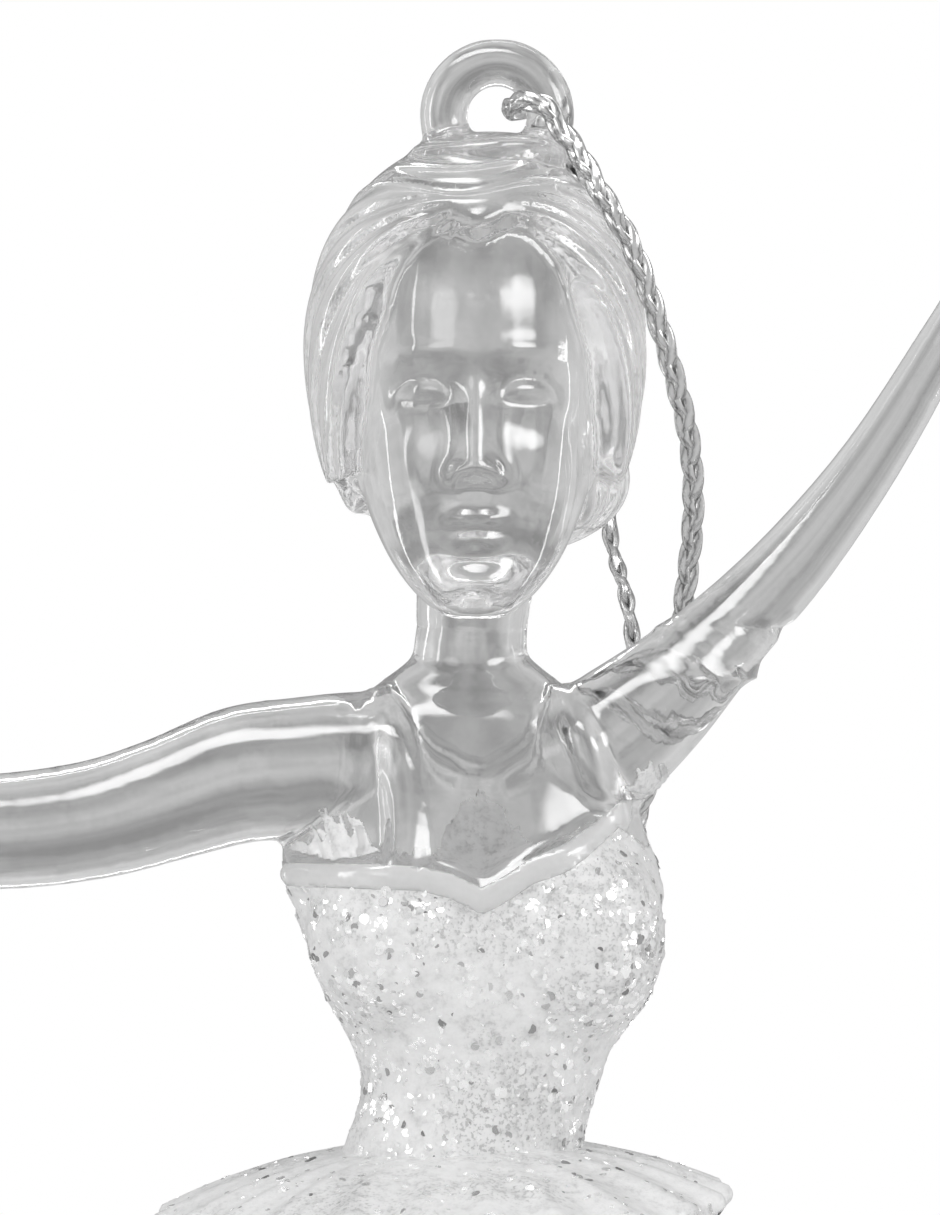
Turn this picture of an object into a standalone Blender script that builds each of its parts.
"""Clear cast ballerina ornament with a moulded hanging eyelet and a knotted silver cord.

The figure is one casting: eyelet, head, arms, bodice, layered tutu, and two legs, one on
pointe and the other bent with its toe against the first.
It is blocked out from closed lofted forms, fused by a voxel remesh, given its face, and
then thinned to a light faceted solid. The cord is a round tube that starts and ends at
its knot and passes once through the eyelet.

Frame: +Z up, the figure looks along -Y, and the origin is the middle of the eyelet's hole.
"""

import math

import bmesh
import bpy
import numpy as np
from mathutils import Matrix, Vector

MM = 0.001

# Sizes of the casting, in millimetres.
FIGURE_HEIGHT = 132.0       # crown of the head to the tips of the shoes
EYELET_HOLE = 2.9           # diameter of the hole
EYELET_BAR = 2.2            # thickness of the ring round it
EYELET_SIDESTEP = 1.05      # the eyelet stands this far to the side of the head's middle
CROWN_IN_HOLE = 0.45        # the hair rises this far over the lowest point of the hole
TUTU_RADIUS = 14.6          # the widest frill, from the tutu's middle to its rim
FRILL_THICKNESS = 0.8       # one layer of the tutu
STRAP_WIDTH = 1.3           # shoulder straps and the trim along the neckline

# Sizes of the hanging cord, in millimetres.
CORD_DIAMETER = 1.0
KNOT_DIAMETER = 2.6
KNOT_HEIGHT = 2.2
TAIL_LENGTH = 3.4           # the two cut ends below the knot
PIECE_GAP = 0.35            # clear space between the cord, its knot and the casting

# How finely the solids are made.
VOXEL = 0.36                # edge of the cubes that fuse the blocked-out forms, in squares
KNOT_VOXEL = 0.16           # the same for the knot, mm
FIGURE_TRIANGLES = 8000
KNOT_TRIANGLES = 680
CORD_STEP = 1.5             # distance between the tube's points, mm
RING_SIDES = 20             # points round each lofted section
SPAN_STEPS = 4              # sections between two stations of a loft

# The figure is drawn on a grid of 132 squares from crown to toe, so that a square is one
# millimetre at the real height. x is measured from the middle of the head, to the
# viewer's right, y from its front (-) to its back (+), and z downwards from the crown.
GRID_SQUARES = 132.0
SQUARE = FIGURE_HEIGHT / GRID_SQUARES

# A head section is z, half-width, front y and back y. These are the bare skin's.
HEAD_SECTIONS = [
    (-23.1, 1.2, -6.9, -4.4), (-22.6, 2.1, -7.4, -2.8), (-21.5, 3.2, -7.6, -0.6),
    (-20.0, 4.2, -7.4, 1.6), (-18.0, 5.1, -7.3, 4.5), (-16.0, 5.7, -7.2, 6.6),
    (-13.0, 6.1, -7.1, 8.2), (-10.0, 6.3, -7.4, 8.9), (-7.0, 6.1, -7.0, 8.7),
    (-4.0, 5.2, -5.6, 7.5), (-1.9, 3.6, -3.3, 5.4), (-1.0, 1.9, -1.2, 3.2),
]

# A torso section is z, middle x, half-width, front y and back y.
TORSO_SECTIONS = [
    (-25.0, -0.2, 2.8, -1.5, 4.0), (-26.4, -0.25, 4.6, -2.0, 4.4),
    (-27.6, -0.2, 6.4, -2.8, 4.7), (-29.5, -0.2, 7.5, -3.6, 4.9),
    (-31.5, -0.4, 8.1, -4.4, 5.0), (-33.6, -0.5, 8.7, -5.0, 4.9),
    (-35.7, -0.1, 9.0, -5.3, 4.7), (-39.0, 0.5, 8.4, -5.3, 4.3),
    (-41.4, 0.6, 7.6, -5.0, 3.9), (-43.6, 0.35, 6.2, -4.3, 3.6),
    (-45.7, 0.2, 5.6, -4.0, 3.5), (-48.6, -0.6, 5.7, -4.1, 3.9),
    (-52.0, -0.8, 6.6, -4.6, 4.8), (-56.0, -0.8, 6.8, -4.7, 5.0),
    (-59.5, -0.8, 6.0, -4.0, 4.6), (-61.0, -0.8, 4.4, -2.6, 3.4),
]

# A limb station is x, y, z, half-width in the plane of the figure and half-depth.
NECK = [
    (0.1, 0.8, -17.5, 3.4, 3.6), (0.0, 0.9, -21.0, 2.9, 3.0),
    (-0.2, 1.1, -24.0, 2.7, 2.75), (-0.25, 1.3, -26.0, 3.1, 3.0),
    (-0.2, 1.3, -28.5, 4.4, 3.0),
]
STRETCHED_ARM = [
    (-2.0, 0.8, -29.6, 3.0, 3.2), (-5.5, 0.6, -30.0, 3.4, 3.4),
    (-8.6, 0.2, -30.3, 3.4, 3.4), (-11.3, -0.4, -30.6, 3.3, 3.3),
    (-14.6, -1.2, -31.7, 3.0, 3.0), (-18.2, -2.2, -32.7, 2.85, 2.85),
    (-22.8, -3.4, -33.2, 2.75, 2.75), (-27.4, -4.6, -32.9, 2.5, 2.4),
    (-32.0, -5.6, -31.9, 2.1, 2.0), (-36.5, -6.4, -30.8, 1.65, 1.5),
    (-39.2, -6.8, -30.2, 1.4, 1.15), (-41.6, -7.1, -29.8, 1.6, 0.85),
    (-43.4, -7.3, -29.5, 1.55, 0.75),
]
RAISED_ARM = [
    (1.6, 0.8, -30.4, 3.2, 3.2), (4.8, 0.6, -29.9, 3.5, 3.4),
    (8.3, 0.8, -27.4, 3.0, 3.1), (12.2, 1.5, -23.7, 2.2, 2.4),
    (15.8, 2.1, -19.9, 1.85, 1.95), (19.3, 2.5, -15.3, 1.5, 1.6),
    (22.4, 2.5, -10.2, 1.25, 1.3), (24.0, 2.2, -7.1, 1.05, 1.0),
    (24.8, 1.9, -4.8, 1.3, 0.75), (25.2, 1.6, -3.2, 1.3, 0.7),
]
STANDING_LEG = [
    (1.4, 0.2, -55.0, 3.9, 4.4), (1.2, 0.0, -60.0, 3.9, 4.4), (0.9, -0.2, -66.0, 3.5, 4.0),
    (0.5, -0.5, -73.0, 2.95, 3.4), (0.2, -0.8, -80.0, 2.4, 2.7),
    (0.1, -0.9, -85.5, 2.15, 2.3), (0.05, -0.4, -90.5, 2.2, 2.45),
    (0.1, 0.2, -96.0, 2.35, 2.7), (-0.1, 0.1, -102.0, 2.05, 2.4),
    (-0.4, -0.4, -109.0, 1.5, 1.7), (-0.5, -0.7, -115.0, 1.2, 1.35),
    (-0.6, -0.7, -118.2, 1.3, 1.6), (-0.6, -1.2, -122.5, 1.45, 1.7),
    (-0.6, -1.5, -127.0, 1.25, 1.3), (-0.6, -1.6, -131.0, 0.95, 0.9),
]
BENT_LEG = [
    (-2.8, 0.2, -55.0, 4.0, 4.4), (-4.6, -0.3, -60.0, 3.9, 4.3),
    (-7.6, -1.7, -65.6, 3.5, 3.8), (-11.2, -3.6, -71.6, 3.0, 3.1),
    (-14.6, -5.3, -77.2, 2.5, 2.6), (-16.6, -6.3, -81.0, 2.3, 2.35),
    (-16.2, -6.3, -84.6, 2.2, 2.25), (-13.8, -5.7, -89.4, 2.3, 2.4),
    (-10.9, -4.9, -94.4, 2.1, 2.2), (-8.0, -4.1, -99.8, 1.55, 1.65),
    (-5.9, -3.6, -104.0, 1.2, 1.3), (-4.8, -3.4, -106.4, 1.3, 1.45),
    (-3.4, -2.9, -109.8, 1.4, 1.5), (-2.1, -2.3, -113.4, 1.15, 1.15),
    (-1.3, -1.8, -116.2, 0.9, 0.85),
]

# Where the parts of the face lie, in squares, for one side of the head.
EYE_LINE = -12.4
EYE_SIDE = 2.45
NOSE_BASE = -16.9
MOUTH_LINE = -18.9
CHIN_POINT = -21.6
FACE_TOP = -6.0
FACE_FOOT = -22.5
FACE_HALF_WIDTH = 6.5
CHEEK_FRONT = -4.0          # the y in front of which the face's finer forms lie

# The hair is a cap whose surface is an ellipsoid, open over the oval of the face.
HAIR_CENTRE = Vector((0.0, 0.9, -10.0))
HAIR_HALF_WIDTH = 8.15
HAIR_HALF_DEPTH = 9.5
HAIR_RISE = 10.0
HAIR_DROP = 13.0
FACE_OVAL_CENTRE = (0.3, -14.0)
FACE_OVAL_RADII = (6.4, 9.3)
HAIR_HEM = -16.6
NAPE_DEPTHS = (1.0, 3.0)    # the hair reaches lower from the first y to the second
NAPE_HEM = (-19.5, -18.0)
HAIR_ROLL = ((0.3, 5.0, -15.7), (7.3, 4.8, 4.3), 7)
CROWN_LOCKS = ((0.7, 0.0, -0.9), (3.9, 4.0, 1.1))
LOCK_RELIEF = 0.2
SCALP_SHARE = 0.66          # of the hair's reach, where it sinks under the face

FINGER_LENGTHS = (0.86, 1.0, 0.94, 0.76)
STRETCHED_WRIST_X = -40.0
RAISED_WRIST_Z = -7.0
RAISED_HAND_X = 20.0
HAND_DETAIL = 0.8
FACE_DETAIL = 0.7
DETAIL_PULL = 0.001         # how hard these marks hold back the thinning
BUST = [((-3.5, -2.4, -37.8), (4.5, 3.5, 5.0)), ((4.5, -2.4, -38.1), (4.5, 3.5, 5.0))]

# The straps and the neckline's trim as x and z over the chest, in squares.
NECKLINE = [
    (-9.3, -35.2), (-7.0, -35.3), (-4.6, -35.2), (-2.6, -35.5), (-0.6, -36.3), (0.9, -37.0),
    (2.2, -36.2), (3.8, -35.0), (5.6, -33.8), (7.2, -33.0),
]
STRAPS = [
    [(-4.7, -26.9), (-4.1, -28.6), (-3.5, -30.6), (-3.2, -32.8), (-3.3, -35.2)],
    [(4.2, -26.8), (4.9, -28.4), (5.7, -30.4), (6.4, -32.0), (6.5, -33.4)],
]

# The frills stand round an axis of their own, which leans to the viewer's left of the head.
# A frill is its inner z, the z of its rim, its share of the tutu's radius, the number of
# its flutes, and a turn that keeps the flutes of neighbouring frills apart.
TUTU_CENTRE_X = -1.6
FRILLS = [
    (-48.6, -51.6, 0.94, 23, 0.4), (-49.9, -53.8, 1.0, 27, 0.0),
    (-51.2, -56.0, 0.965, 25, 1.1), (-52.6, -58.2, 0.84, 21, 0.7),
]
FLUTE_HEIGHT = 0.3
RIM_SCALLOP = 0.022
TUTU_TILT = 0.045           # rise of the skirt towards the viewer's right, per square
TUTU_CORE_SECTIONS = [
    (-48.9, 5.2), (-50.2, 8.2), (-52.0, 10.2), (-55.4, 10.8), (-57.6, 9.2), (-58.8, 6.5),
]

# The cord hangs slack. One strand leaves the eyelet at the front, passes the head's side and
# goes behind the raised arm; the other goes down behind the head. Both are given in squares
# from just below the eyelet to just above the knot, which hangs behind the waist.
FRONT_STRAND = [
    (4.9, -2.6, -1.0), (6.0, -3.3, -3.0), (7.3, -3.2, -5.2), (8.2, -2.7, -7.5),
    (9.3, -1.6, -10.9), (10.3, 0.4, -14.6), (10.55, 2.1, -18.2), (10.2, 3.8, -22.2),
    (9.75, 5.0, -25.6), (8.95, 5.5, -29.5), (7.5, 6.0, -34.3), (5.9, 6.4, -38.8),
]
BACK_STRAND = [
    (4.6, 3.5, -0.9), (6.1, 5.6, -3.4), (7.0, 7.1, -7.0), (7.25, 7.6, -11.0),
    (7.0, 8.7, -15.5), (6.7, 8.0, -18.9), (7.5, 6.2, -22.4), (7.8, 5.6, -25.8),
    (7.3, 5.7, -29.3), (6.0, 6.0, -34.0), (4.5, 6.6, -38.6),
]
KNOT_PLACE = Vector((3.7, 6.8, -43.9))
# Where the strands cross the ring, as degrees round its bar and degrees round its hole.
FRONT_TURNS = [(0, 30), (45, 28), (80, 10), (102, -12)]
BACK_TURNS = [(-45, 22), (-85, 4)]


def clear_scene():
    for obj in list(bpy.data.objects):
        bpy.data.objects.remove(obj)


def smooth_stations(stations, steps=SPAN_STEPS):
    """The stations and the rows between them, read from a Catmull-Rom curve."""
    rows = np.array(stations, float)
    ends = np.vstack([2 * rows[0] - rows[1], rows, 2 * rows[-1] - rows[-2]])
    t = np.linspace(0, 1, steps, endpoint=False)[:, None]
    spans = [
        0.5 * (2 * b + (c - a) * t + (2 * a - 5 * b + 4 * c - d) * t**2
               + (3 * b - a - 3 * c + d) * t**3)
        for a, b, c, d in zip(ends[:-3], ends[1:-2], ends[2:-1], ends[3:])
    ]
    return np.vstack([*spans, rows[-1:]])


def add_rings(bm, rings):
    """A closed form through rings of equally many points, with flat ends."""
    made = [[bm.verts.new(point) for point in ring] for ring in rings]
    count = len(made[0])
    for lower, upper in zip(made, made[1:]):
        for i in range(count):
            j = (i + 1) % count
            bm.faces.new((lower[i], lower[j], upper[j], upper[i]))
    bm.faces.new(list(reversed(made[0])))
    bm.faces.new(made[-1])


def add_stack(bm, sections):
    """A form of flat sections, each z, middle x, half-width, front y and back y."""
    rings = []
    for z, middle, half_width, front, back in smooth_stations(sections):
        y_middle, half_depth = (front + back) / 2, (back - front) / 2
        rings.append([
            Vector((middle + half_width * math.cos(turn),
                    y_middle + half_depth * math.sin(turn), z))
            for turn in np.linspace(0, 2 * math.pi, RING_SIDES * 2, endpoint=False)
        ])
    add_rings(bm, rings)


def add_limb(bm, stations, sides=RING_SIDES):
    """A tube of changing thickness with round ends, its width measured across the view."""
    rows = smooth_stations(stations)
    centres, widths, depths = rows[:, :3], rows[:, 3], rows[:, 4]
    tangents = np.gradient(centres, axis=0)
    tangents /= np.linalg.norm(tangents, axis=1)[:, None]
    rings = []

    def ring(centre, tangent, width, depth):
        across = np.cross(tangent, (0, 1, 0))
        across /= np.linalg.norm(across)
        through = np.cross(across, tangent)
        rings.append([
            Vector(centre + width * math.cos(turn) * across + depth * math.sin(turn) * through)
            for turn in np.linspace(0, 2 * math.pi, sides, endpoint=False)
        ])

    cap_angles = np.radians((75, 50, 25))
    for angle in cap_angles:
        back = centres[0] - tangents[0] * depths[0] * math.sin(angle)
        ring(back, tangents[0], widths[0] * math.cos(angle), depths[0] * math.cos(angle))
    for centre, tangent, width, depth in zip(centres, tangents, widths, depths):
        ring(centre, tangent, width, depth)
    for angle in cap_angles[::-1]:
        ahead = centres[-1] + tangents[-1] * depths[-1] * math.sin(angle)
        ring(ahead, tangents[-1], widths[-1] * math.cos(angle), depths[-1] * math.cos(angle))
    add_rings(bm, rings)


def add_blob(bm, centre, radii, roll=0.0):
    """An ellipsoid, rolled in the plane of the figure."""
    place = Matrix.Translation(centre) @ Matrix.Rotation(math.radians(roll), 4, "Y")
    bmesh.ops.create_uvsphere(
        bm, u_segments=28, v_segments=16, radius=1.0, matrix=place @ Matrix.Diagonal((*radii, 1))
    )


def add_torus(bm, centre, ring_radius, bar_radius, sides=40):
    """A ring that faces the viewer."""
    rows = []
    for turn in np.linspace(0, 2 * math.pi, sides, endpoint=False):
        outward = Vector((math.cos(turn), 0, math.sin(turn)))
        rows.append([
            centre + outward * (ring_radius + bar_radius * math.cos(around))
            + Vector((0, bar_radius * math.sin(around), 0))
            for around in np.linspace(0, 2 * math.pi, RING_SIDES, endpoint=False)
        ])
    made = [[bm.verts.new(point) for point in row] for row in rows]
    for row, after in zip(made, made[1:] + made[:1]):
        for i in range(RING_SIDES):
            j = (i + 1) % RING_SIDES
            bm.faces.new((row[i], row[j], after[j], after[i]))


def soft_step(value, low, high):
    """0 below low, 1 above high, and a smooth rise between them."""
    t = min(1.0, max(0.0, (value - low) / (high - low)))
    return t * t * (3 - 2 * t)


def hair_share(point):
    """1 where hair covers the head and 0 on the face and the neck."""
    x, y, z = point
    oval_x, oval_z = FACE_OVAL_CENTRE
    wide, high = FACE_OVAL_RADII
    parting = 1.1 * math.exp(-((x - 0.1) / 1.5) ** 2)
    oval = math.hypot((x - oval_x) / wide, (z - oval_z) / (high - parting * (z > oval_z)))
    off_face = max(soft_step(oval, 0.93, 1.1), soft_step(y, -2.6, -1.2))
    above_hem = soft_step(z, HAIR_HEM - 0.9, HAIR_HEM)
    over_nape = soft_step(y, *NAPE_DEPTHS) * soft_step(z, *NAPE_HEM)
    return off_face * max(above_hem, over_nape)


def lock_wave(point):
    """Rounded locks that run from the parting down and back to the roll at the nape."""
    x, y, z = point
    phase = 1.45 * (y + 0.42 * z) + 0.35 * math.sin(0.7 * z)
    return abs(math.sin(phase)) - 0.6


def add_hair(bm):
    rings = []
    for polar in np.linspace(0.03, math.pi - 0.03, 60):
        ring = []
        for turn in np.linspace(0, 2 * math.pi, 90, endpoint=False):
            flat = math.sin(polar)
            rise = math.cos(polar)
            height = HAIR_RISE if rise > 0 else HAIR_DROP
            arm = Vector((HAIR_HALF_WIDTH * flat * math.cos(turn),
                          HAIR_HALF_DEPTH * flat * math.sin(turn), height * rise))
            point = HAIR_CENTRE + arm
            share = hair_share(point)
            lock = LOCK_RELIEF * lock_wave(point) * share
            reach = SCALP_SHARE + (1 - SCALP_SHARE) * share
            ring.append(HAIR_CENTRE + arm * reach + arm.normalized() * lock)
        rings.append(ring)
    add_rings(bm, rings)
    add_blob(bm, *HAIR_ROLL)
    add_blob(bm, *CROWN_LOCKS)


def add_frill(bm, inner_z, rim_z, share, flutes, turn_on):
    """One layer of the tutu: a thin fluted cone with a scalloped rim."""
    rim_radius = TUTU_RADIUS / SQUARE * share
    thickness = FRILL_THICKNESS / SQUARE
    turns = np.linspace(0, 2 * math.pi, flutes * 8, endpoint=False)
    outward = [(0.24, 0), (0.45, 0), (0.65, 0), (0.8, 0), (0.92, 0), (1.0, 0.25)]

    def ring(reach, side, inset):
        points = []
        for turn in turns:
            wave = math.cos(flutes * turn + turn_on)
            radius = rim_radius * reach * (1 + RIM_SCALLOP * wave * reach**6)
            lift = FLUTE_HEIGHT * wave * reach**2 + TUTU_TILT * radius * math.cos(turn)
            z = inner_z + (rim_z - inner_z) * reach**1.9 + lift
            z += side * thickness * (0.5 - inset)
            points.append(Vector((TUTU_CENTRE_X + radius * math.cos(turn),
                                  radius * math.sin(turn), z)))
        return points

    top = [ring(reach, 1, inset) for reach, inset in outward]
    under = [ring(reach, -1, inset) for reach, inset in reversed(outward)]
    add_rings(bm, top + under)


def add_tutu(bm):
    for frill in FRILLS:
        add_frill(bm, *frill)
    add_stack(bm, [(z, TUTU_CENTRE_X, r, -r, r) for z, r in reversed(TUTU_CORE_SECTIONS)])


def add_hand(bm, knuckles, reach, spread, curl, thumb):
    """Four fingers that fan from the knuckles, and a thumb. Vectors are in squares."""
    knuckles, reach, spread, curl = map(Vector, (knuckles, reach, spread, curl))
    for number, length in enumerate(FINGER_LENGTHS):
        off = number - 1.5
        base = knuckles + spread * off * 0.8
        middle = base + reach * 0.5 * length + spread * off * 0.12
        tip = base + reach * length + spread * off * 0.36 + curl * (1 - 0.2 * off)
        stations = [(*base, 0.5, 0.55), (*middle, 0.44, 0.46), (*tip, 0.38, 0.4)]
        add_limb(bm, stations, sides=10)
    start = knuckles - reach * 0.4 + spread * 1.3
    tip = start + Vector(thumb)
    middle = (start + tip) / 2 + spread * 0.25
    stations = [(*start, 0.6, 0.6), (*middle, 0.46, 0.46), (*tip, 0.32, 0.32)]
    add_limb(bm, stations, sides=10)


def chest_front(x, z):
    """The y of the bodice's front at x and z, from the torso's sections and the bust."""
    rows = smooth_stations(TORSO_SECTIONS)[::-1]
    middle, half, front, back = (np.interp(z, rows[:, 0], rows[:, k]) for k in (1, 2, 3, 4))
    across = min(0.98, abs(x - middle) / half)
    best = (front + back) / 2 - (back - front) / 2 * math.sqrt(1 - across**2)
    for centre, radii in BUST:
        off = ((x - centre[0]) / radii[0]) ** 2 + ((z - centre[2]) / radii[2]) ** 2
        if off < 1:
            best = min(best, centre[1] - radii[1] * math.sqrt(1 - off))
    return best


def add_trim(bm):
    """Raised bands along the neckline and over the shoulders."""
    half = STRAP_WIDTH / 2 / SQUARE
    for line in [NECKLINE, *STRAPS]:
        stations = [(x, chest_front(x, z) + 0.15, z, half, half * 0.8) for x, z in line]
        add_limb(bm, stations, sides=12)


def bump(across, up, centre, size):
    """A smooth hill of height 1 at a place on the face."""
    return np.exp(-((across - centre[0]) / size[0]) ** 2 - ((up - centre[1]) / size[1]) ** 2)


def face_relief(x, z):
    """How far the face stands forward of its plain oval, in squares, at x and z."""
    side = np.abs(x)
    relief = 1.45 * bump(side, z, (0, NOSE_BASE + 0.8), (0.85, 1.05))
    relief += 0.95 * bump(side, z, (0, NOSE_BASE + 2.4), (0.7, 1.8))
    relief += 0.5 * bump(side, z, (0.85, NOSE_BASE + 0.35), (0.42, 0.45))
    relief -= 0.95 * bump(side, z, (EYE_SIDE, EYE_LINE), (1.75, 1.15))
    relief += 0.85 * bump(side, z, (EYE_SIDE, EYE_LINE - 0.05), (1.05, 0.55))
    relief += 0.3 * bump(side, z, (EYE_SIDE, EYE_LINE + 1.9), (1.7, 0.55))
    relief += 0.45 * bump(side, z, (3.4, NOSE_BASE + 1.7), (1.5, 1.5))
    relief += 0.55 * bump(side, z, (0.75, MOUTH_LINE + 0.42), (0.95, 0.34))
    relief += 0.6 * bump(side, z, (0.0, MOUTH_LINE - 0.5), (1.25, 0.42))
    relief -= 0.3 * bump(side, z, (0.0, MOUTH_LINE), (1.9, 0.16))
    relief -= 0.35 * bump(side, z, (0.0, MOUTH_LINE - 1.35), (1.2, 0.4))
    relief += 0.5 * bump(side, z, (0.0, CHIN_POINT), (1.2, 0.9))
    return relief


def give_face(points):
    """Moves the face's points forward by the relief. Points are in squares."""
    x, y, z = points.T
    wide, high = FACE_OVAL_RADII[0] * 0.94, FACE_OVAL_RADII[1] * 0.97
    oval = np.hypot((x - FACE_OVAL_CENTRE[0]) / wide, (z - FACE_OVAL_CENTRE[1]) / high)
    share = np.clip((1.0 - oval) / 0.2, 0, 1) * np.clip((CHEEK_FRONT / 2 - y) / 2.0, 0, 1)
    share *= np.clip((z - FACE_FOOT + 0.5) / 0.8, 0, 1)
    moved = points.copy()
    moved[:, 1] -= share * face_relief(x, z)
    return moved


def new_object(name, mesh, material):
    obj = bpy.data.objects.new(name, mesh)
    bpy.context.scene.collection.objects.link(obj)
    mesh.materials.append(material)
    return obj


def new_material(name, colour, roughness, metallic=0.0, transmission=0.0):
    material = bpy.data.materials.new(name)
    material.use_nodes = True
    shader = material.node_tree.nodes["Principled BSDF"]
    shader.inputs["Base Color"].default_value = (*colour, 1)
    shader.inputs["Roughness"].default_value = roughness
    shader.inputs["Metallic"].default_value = metallic
    shader.inputs["Transmission Weight"].default_value = transmission
    shader.inputs["IOR"].default_value = 1.49
    return material


def evaluated_mesh(obj):
    """The object's mesh with its modifiers, as a plain mesh."""
    graph = bpy.context.evaluated_depsgraph_get()
    return bpy.data.meshes.new_from_object(obj.evaluated_get(graph))


def crown_height():
    """The z of the crown below the middle of the eyelet's hole."""
    return -EYELET_HOLE / 2 + CROWN_IN_HOLE


def blocked_out_figure():
    """All the closed forms of the casting in one mesh, in squares from the crown."""
    bm = bmesh.new()
    add_stack(bm, [(z, 0, half, front, back) for z, half, front, back in HEAD_SECTIONS])
    add_hair(bm)
    add_stack(bm, TORSO_SECTIONS[::-1])
    for stations in (NECK, STRETCHED_ARM, RAISED_ARM, STANDING_LEG, BENT_LEG):
        add_limb(bm, stations)
    for centre, radii in BUST:
        add_blob(bm, centre, radii)
    add_hand(bm, knuckles=(-43.3, -7.3, -29.5), reach=(-4.5, -0.6, 0.2), spread=(0, 0, 1.0),
             curl=(0.1, 0.2, -0.6), thumb=(-2.2, -1.3, 0.7))
    add_hand(bm, knuckles=(25.2, 1.6, -3.3), reach=(0.4, -0.9, 4.4), spread=(0.95, 0.1, -0.1),
             curl=(-0.5, -0.3, 0), thumb=(-0.2, -1.3, 2.2))
    add_trim(bm)
    add_tutu(bm)
    ring_radius = (EYELET_HOLE + EYELET_BAR) / 2 / SQUARE
    middle = Vector((EYELET_SIDESTEP, 0, -crown_height())) / SQUARE
    add_torus(bm, middle, ring_radius, EYELET_BAR / 2 / SQUARE)
    bmesh.ops.recalc_face_normals(bm, faces=bm.faces)
    mesh = bpy.data.meshes.new("blocked_out")
    bm.to_mesh(mesh)
    bm.free()
    return mesh


def thinned(obj, triangles):
    """Leaves a live modifier that keeps about this many triangles."""
    obj.data.calc_loop_triangles()
    thin = obj.modifiers.new("thin", "DECIMATE")
    thin.ratio = triangles / len(obj.data.loop_triangles)
    thin.use_collapse_triangulate = True


def drop_bubbles(mesh):
    """Keeps the outer skin alone, without the tiny closed shells that fusing leaves inside."""
    bm = bmesh.new()
    bm.from_mesh(mesh)
    unseen = set(bm.verts)
    shells = []
    while unseen:
        shell = [unseen.pop()]
        for vertex in shell:
            for edge in vertex.link_edges:
                other = edge.other_vert(vertex)
                if other in unseen:
                    unseen.remove(other)
                    shell.append(other)
        shells.append(shell)
    shells.sort(key=len)
    bubbles = [vertex for shell in shells[:-1] for vertex in shell]
    bmesh.ops.delete(bm, geom=bubbles, context="VERTS")
    bm.to_mesh(mesh)
    bm.free()


def fused_mesh(blocks, voxel, smoothing):
    """The closed forms of an object as one smooth skin. The object is removed."""
    fuse = blocks.modifiers.new("fuse", "REMESH")
    fuse.mode = "VOXEL"
    fuse.voxel_size = voxel
    ease = blocks.modifiers.new("ease", "SMOOTH")
    ease.factor = 0.5
    ease.iterations = smoothing
    mesh = evaluated_mesh(blocks)
    bpy.data.objects.remove(blocks)
    drop_bubbles(mesh)
    return mesh


def keep_detail(figure):
    """Marks the face and the hands, which keep more of their triangles than the rest."""
    group = figure.vertex_groups.new(name="detail")
    for vertex in figure.data.vertices:
        x, y, z = (vertex.co / MM - Vector((-EYELET_SIDESTEP, 0, crown_height()))) / SQUARE
        if x < STRETCHED_WRIST_X or z > RAISED_WRIST_Z and x > RAISED_HAND_X:
            group.add([vertex.index], HAND_DETAIL, "REPLACE")
        elif y < CHEEK_FRONT and FACE_FOOT < z < FACE_TOP and abs(x) < FACE_HALF_WIDTH:
            group.add([vertex.index], FACE_DETAIL, "REPLACE")


def on_world(point):
    """A place given in squares from the crown, as millimetres from the eyelet's middle."""
    return Vector(point) * SQUARE + Vector((-EYELET_SIDESTEP, 0, crown_height()))


def make_figure(material):
    blocks = new_object("figure_blocks", blocked_out_figure(), material)
    mesh = fused_mesh(blocks, VOXEL, smoothing=2)
    points = np.empty(len(mesh.vertices) * 3, np.float32)
    mesh.vertices.foreach_get("co", points)
    points = give_face(points.reshape(-1, 3).astype(float)) * SQUARE
    points += (-EYELET_SIDESTEP, 0, crown_height())
    mesh.vertices.foreach_set("co", (points * MM).ravel())
    mesh.update()
    mesh.name = "figure"
    figure = new_object("figure", mesh, material)
    keep_detail(figure)
    thinned(figure, FIGURE_TRIANGLES)
    figure.modifiers["thin"].vertex_group = "detail"
    figure.modifiers["thin"].invert_vertex_group = True
    figure.modifiers["thin"].vertex_group_factor = DETAIL_PULL


def round_the_ring(turns):
    """Points at a clear distance from the eyelet's bar, from the hole outwards, in mm."""
    ring_radius = (EYELET_HOLE + EYELET_BAR) / 2
    clear = (EYELET_BAR + CORD_DIAMETER) / 2 + PIECE_GAP
    points = []
    for round_bar, round_hole in turns:
        reach = ring_radius - clear * math.cos(math.radians(round_bar))
        side = math.radians(round_hole)
        points.append(Vector((reach * math.cos(side), -clear * math.sin(math.radians(round_bar)),
                              reach * math.sin(side))))
    return points


def cord_route():
    """The hand-chosen points of the cord's middle line, from knot to knot, in mm."""
    knot = on_world(KNOT_PLACE)
    over_knot = KNOT_HEIGHT / 2 + PIECE_GAP
    apart = (CORD_DIAMETER + PIECE_GAP) / 2
    front = [on_world(point) for point in FRONT_STRAND]
    back = [on_world(point) for point in BACK_STRAND]
    return [
        knot + Vector((apart, 0, over_knot)), *reversed(front),
        *reversed(round_the_ring(FRONT_TURNS)), *round_the_ring(BACK_TURNS),
        *back, knot + Vector((-apart, 0, over_knot)),
    ]


def even_points(route, step):
    """Points at even distances along a smooth curve through the route."""
    fine = smooth_stations([tuple(point) for point in route], steps=24)
    lengths = np.linalg.norm(np.diff(fine, axis=0), axis=1)
    along = np.concatenate([[0], np.cumsum(lengths)])
    places = np.linspace(0, along[-1], round(along[-1] / step) + 1)
    return np.stack([np.interp(places, along, fine[:, k]) for k in range(3)], axis=1)


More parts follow.
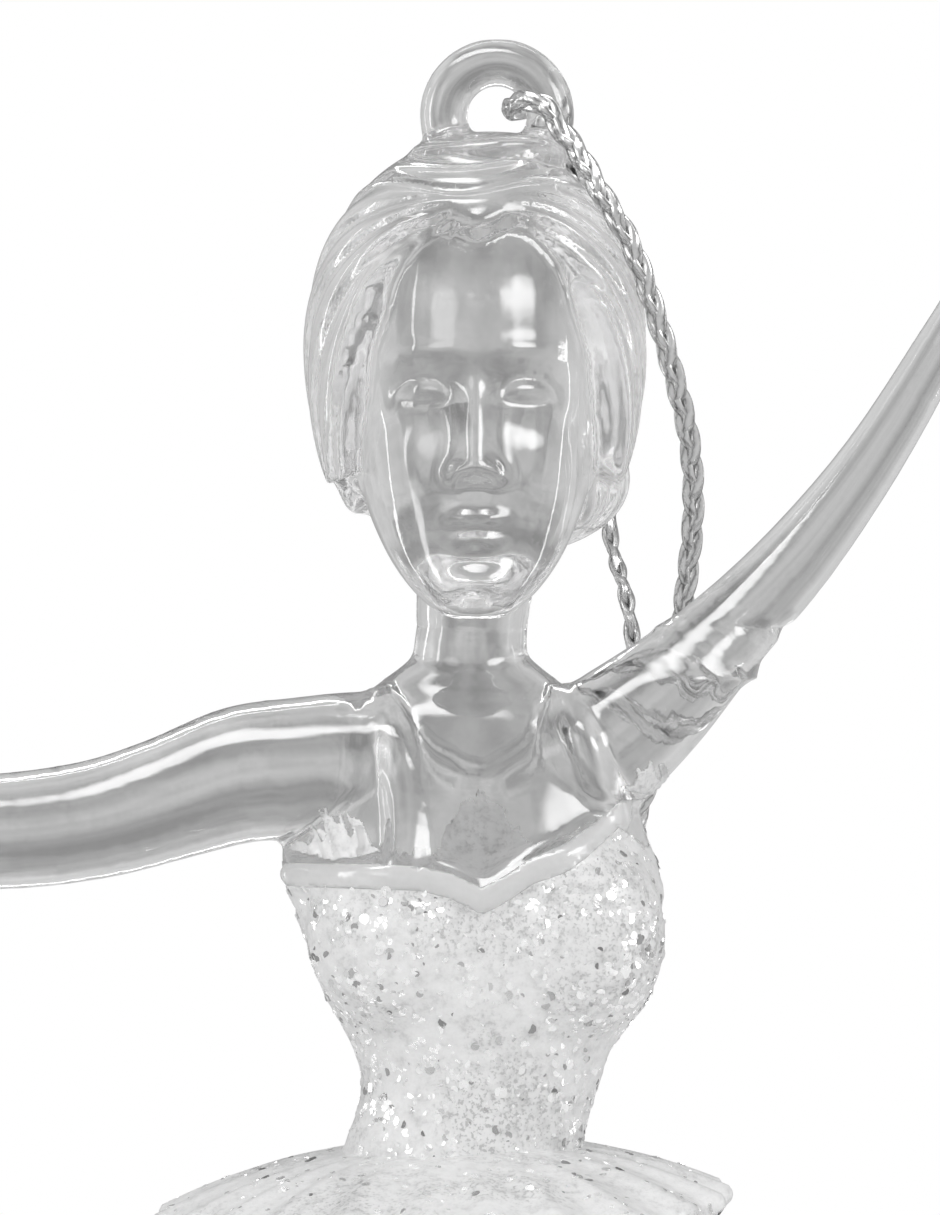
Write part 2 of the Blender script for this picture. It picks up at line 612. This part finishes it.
def make_cord(material):
    points = even_points(cord_route(), CORD_STEP) * MM
    curve = bpy.data.curves.new("hanging_cord", "CURVE")
    curve.dimensions = "3D"
    curve.bevel_depth = CORD_DIAMETER / 2 * MM
    curve.bevel_resolution = 2
    curve.use_fill_caps = True
    spline = curve.splines.new("POLY")
    spline.points.add(len(points) - 1)
    for place, point in zip(spline.points, points):
        place.co = (*point, 1)
    new_object("hanging_cord", curve, material)


def make_knot(material):
    """An overhand knot drawn tight: three turns of cord over one another and two cut tails."""
    bm = bmesh.new()
    cord_radius = CORD_DIAMETER / 2
    coil_radius = KNOT_DIAMETER / 2 - cord_radius
    rise = KNOT_HEIGHT / 2 - cord_radius
    for lift, lean, turn in ((rise * 0.95, 16, 0), (-rise * 0.95, -16, 50), (0, 38, 110)):
        tilt = Matrix.Rotation(math.radians(turn), 4, "Z") @ Matrix.Rotation(
            math.radians(90 + lean * 0.6), 4, "X")
        before = len(bm.verts)
        add_torus(bm, Vector(), coil_radius, cord_radius)
        bm.verts.ensure_lookup_table()
        bmesh.ops.transform(bm, matrix=Matrix.Translation((0, 0, lift)) @ tilt,
                            verts=bm.verts[before:])
    add_blob(bm, (0, 0, 0), (coil_radius, coil_radius, rise + cord_radius * 0.8))
    for side, forward in ((-1, 0.3), (1, -0.2)):
        start = Vector((side * cord_radius * 0.9, 0, -rise * 0.4))
        end = start + Vector((side * 0.3, forward, -1)).normalized() * (TAIL_LENGTH + cord_radius)
        bend = (start + end) / 2 + Vector((side * 0.12, 0, 0))
        thick = cord_radius * 0.92
        add_limb(bm, [(*place, thick, thick) for place in (start, bend, end)], sides=16)
    bmesh.ops.recalc_face_normals(bm, faces=bm.faces)
    mesh = bpy.data.meshes.new("knot_blocks")
    bm.to_mesh(mesh)
    bm.free()
    mesh = fused_mesh(new_object("knot_blocks", mesh, material), KNOT_VOXEL, smoothing=1)
    mesh.transform(Matrix.Scale(MM, 4) @ Matrix.Translation(on_world(KNOT_PLACE)))
    mesh.name = "cord_knot"
    thinned(new_object("cord_knot", mesh, material), KNOT_TRIANGLES)


def main():
    clear_scene()
    clear_acrylic = new_material("clear_acrylic", (0.82, 0.82, 0.83), 0.04, transmission=1.0)
    silver_thread = new_material("silver_thread", (0.6, 0.6, 0.62), 0.35, metallic=0.85)
    make_figure(clear_acrylic)
    make_cord(silver_thread)
    make_knot(silver_thread)


main()
